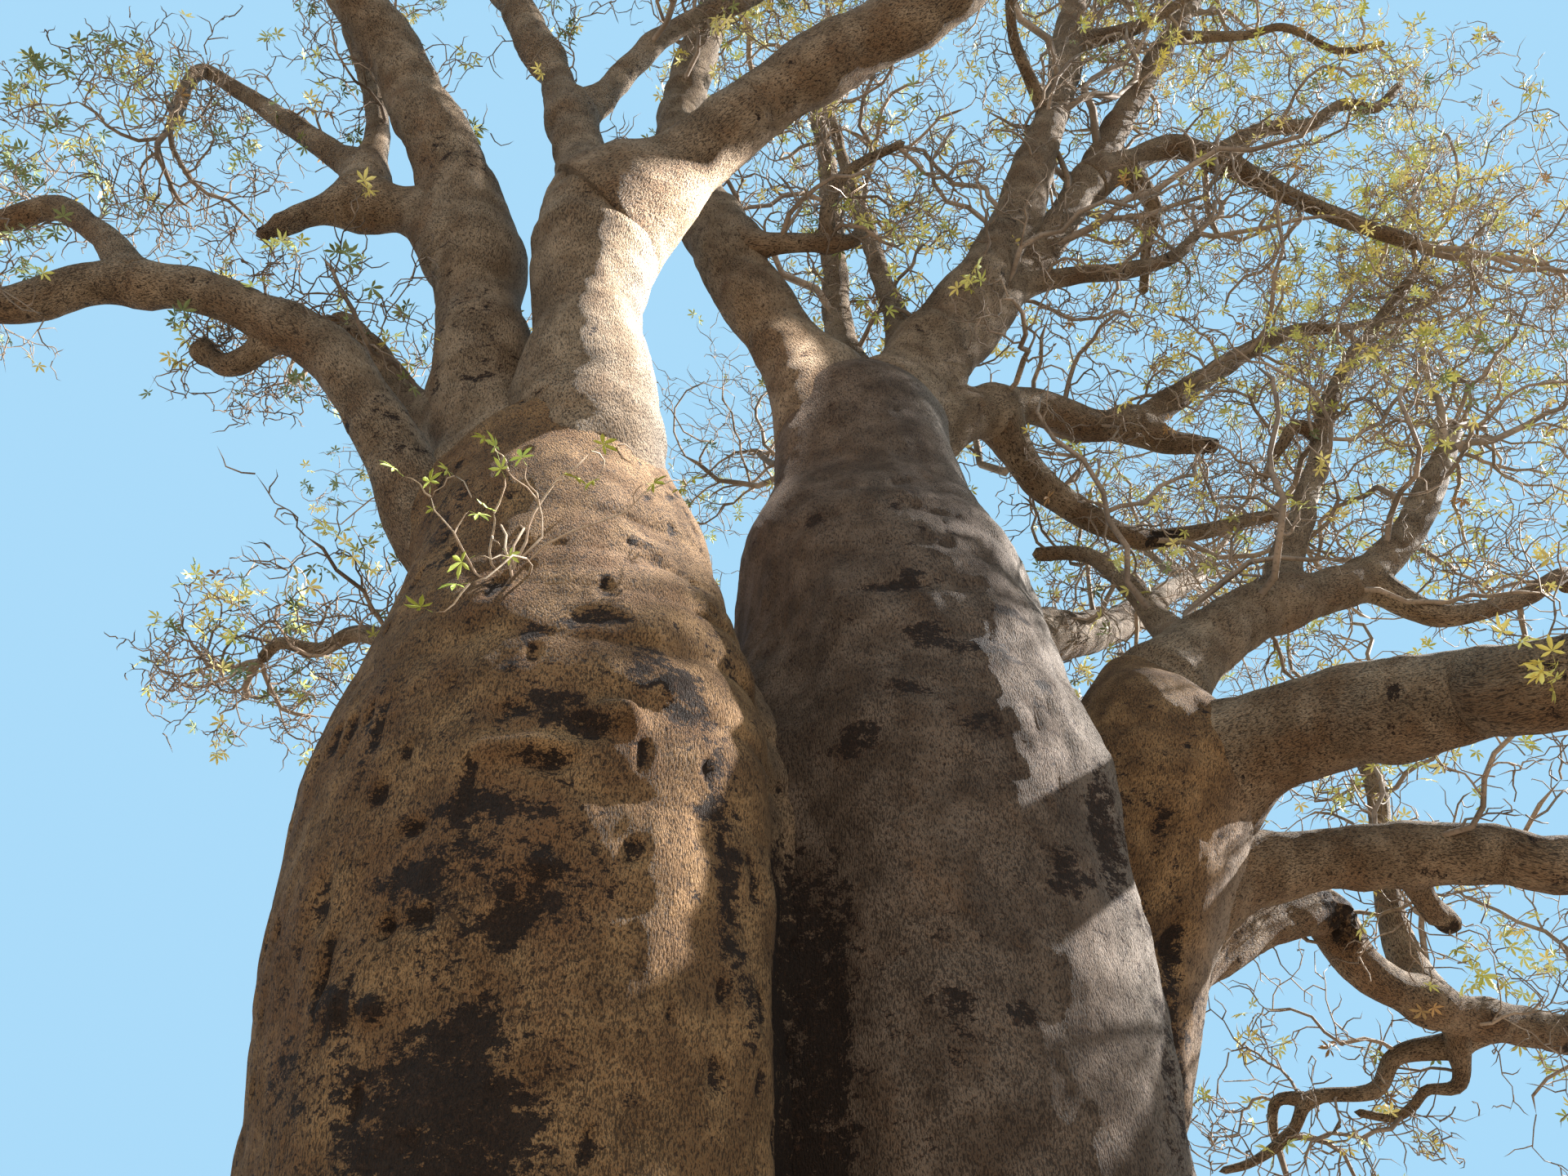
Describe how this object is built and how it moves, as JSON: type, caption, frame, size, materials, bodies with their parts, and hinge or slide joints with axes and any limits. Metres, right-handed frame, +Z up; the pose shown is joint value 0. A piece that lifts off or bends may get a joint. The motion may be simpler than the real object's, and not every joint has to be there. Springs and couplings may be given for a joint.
{
  "type": "baobab tree",
  "caption": "Whole baobab tree with fused bottle-shaped stems, heavy winding boughs and a sparse dry-season crown of bare twigs and yellow-green leaves.",
  "frame": {"origin": "on the flat cut at ground level, under the left stem and near the middle of the fused foot", "axes": "+Z up; X runs across the stems as the picture shows them, with the left stem at -X and the side stem at +X; +Y points away from the picture's camera"},
  "size_m": [16.4342, 12.8089, 16.6266],
  "materials": {
    "stem_bark": "rough pitted grey-brown bark",
    "bough_bark": "rough grey-brown bark",
    "leaf": "matt yellow-green leaves on bare twigs"
  },
  "bodies": {
    "root": {"arching_bough": "bough_bark", "arching_bough_foliage": "leaf", "back_bough": "bough_bark", "back_bough_foliage": "leaf", "back_left_bough": "bough_bark", "back_left_bough_foliage": "leaf", "back_right_bough": "bough_bark", "back_right_bough_foliage": "leaf", "broken_bough": "bough_bark", "crooked_bough": "bough_bark", "crooked_bough_foliage": "leaf", "dark_snag": "bough_bark", "dark_snag_foliage": "leaf", "drooping_bough": "bough_bark", "drooping_bough_foliage": "leaf", "forked_bough": "bough_bark", "forked_bough_foliage": "leaf", "front_column": "bough_bark", "great_bough": "bough_bark", "great_bough_foliage": "leaf", "inner_bough": "bough_bark", "inner_bough_foliage": "leaf", "leaning_bough": "bough_bark", "leaning_bough_foliage": "leaf", "left_bough": "bough_bark", "left_bough_foliage": "leaf", "left_fork": "bough_bark", "left_fork_foliage": "leaf", "left_stem": "stem_bark", "level_bough": "bough_bark", "level_bough_foliage": "leaf", "level_inner_bough": "bough_bark", "level_inner_bough_foliage": "leaf", "low_back_bough": "bough_bark", "low_back_bough_foliage": "leaf", "low_left_bough": "bough_bark", "low_left_bough_foliage": "leaf", "middle_bough": "bough_bark", "middle_bough_foliage": "leaf", "neck_shoots": "leaf", "overhead_bough": "bough_bark", "overhead_bough_foliage": "leaf", "overhead_fork": "bough_bark", "overhead_fork_foliage": "leaf", "pale_bough": "bough_bark", "pale_bough_foliage": "leaf", "rear_column": "bough_bark", "rear_column_foliage": "leaf", "right_stem": "stem_bark", "rising_bough": "bough_bark", "rising_bough_foliage": "leaf", "side_stem": "stem_bark", "tall_bough": "bough_bark", "tall_bough_foliage": "leaf", "torn_bough": "bough_bark", "torn_bough_foliage": "leaf", "upright_bough": "bough_bark", "upright_bough_foliage": "leaf", "winding_bough": "bough_bark", "winding_bough_foliage": "leaf"}
  },
  "joints": []
}
